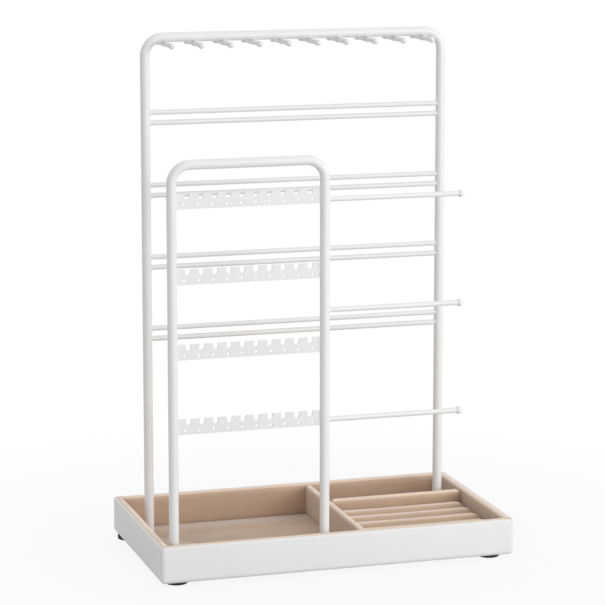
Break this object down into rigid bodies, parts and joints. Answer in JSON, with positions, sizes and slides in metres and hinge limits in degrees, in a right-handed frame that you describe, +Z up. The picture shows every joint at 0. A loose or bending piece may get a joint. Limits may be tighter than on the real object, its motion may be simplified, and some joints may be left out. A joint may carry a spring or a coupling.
{
  "type": "jewelry stand",
  "caption": "White metal jewelry stand with a rodded rear frame, a notched earring frame and bangle arms on a velvet-lined tray with a lift-out ring pad",
  "frame": {"origin": "on the table under the middle of the tray", "axes": "+X to the right seen from the front, +Y to the back, +Z up"},
  "size_m": [0.24, 0.135, 0.3449],
  "materials": {
    "white_steel": "satin powder coat",
    "tray_white": "satin moulded",
    "beige_velvet": "short-pile velvet",
    "black_rubber": "matte",
    "zinc_steel": "zinc plated"
  },
  "bodies": {
    "stand": {"tray_shell": "tray_white", "divider": "beige_velvet", "frame_screws": "zinc_steel", "lining_front": "beige_velvet", "lining_rear": "beige_velvet", "lining_left": "beige_velvet", "lining_right": "beige_velvet", "lining_floor": "beige_velvet", "foot_front_left": "black_rubber", "foot_front_right": "black_rubber", "foot_rear_left": "black_rubber", "foot_rear_right": "black_rubber", "leg_insert_rear_left": "zinc_steel", "leg_insert_rear_right": "zinc_steel", "leg_insert_front_left": "zinc_steel", "leg_insert_front_right": "zinc_steel", "rear_frame_tube": "white_steel", "front_frame_tube": "white_steel", "rear_rod_1_upper": "white_steel", "rear_rod_1_lower": "white_steel", "rear_rod_2_upper": "white_steel", "rear_rod_2_lower": "white_steel", "rear_rod_3_upper": "white_steel", "rear_rod_3_lower": "white_steel", "rear_rod_4_upper": "white_steel", "rear_rod_4_lower": "white_steel", "necklace_peg_01": "white_steel", "necklace_peg_02": "white_steel", "necklace_peg_03": "white_steel", "necklace_peg_04": "white_steel", "necklace_peg_05": "white_steel", "necklace_peg_06": "white_steel", "necklace_peg_07": "white_steel", "necklace_peg_08": "white_steel", "necklace_peg_09": "white_steel", "necklace_peg_10": "white_steel", "earring_strip_1": "white_steel", "earring_strip_2": "white_steel", "earring_strip_3": "white_steel", "earring_strip_4": "white_steel", "bangle_arm_1": "white_steel", "bangle_arm_2": "white_steel", "bangle_arm_3": "white_steel"},
    "ring_pad": {"ring_pad_board": "beige_velvet", "ring_pad_back": "beige_velvet", "ring_roll_1": "beige_velvet", "ring_roll_2": "beige_velvet", "ring_roll_3": "beige_velvet", "ring_roll_4": "beige_velvet", "ring_roll_5": "beige_velvet"}
  },
  "joints": [
    {"name": "ring_pad_lift", "type": "slide", "parent": "stand", "child": "ring_pad", "axis": [0, 0, 1], "range_m": [0, 0.045]}
  ]
}
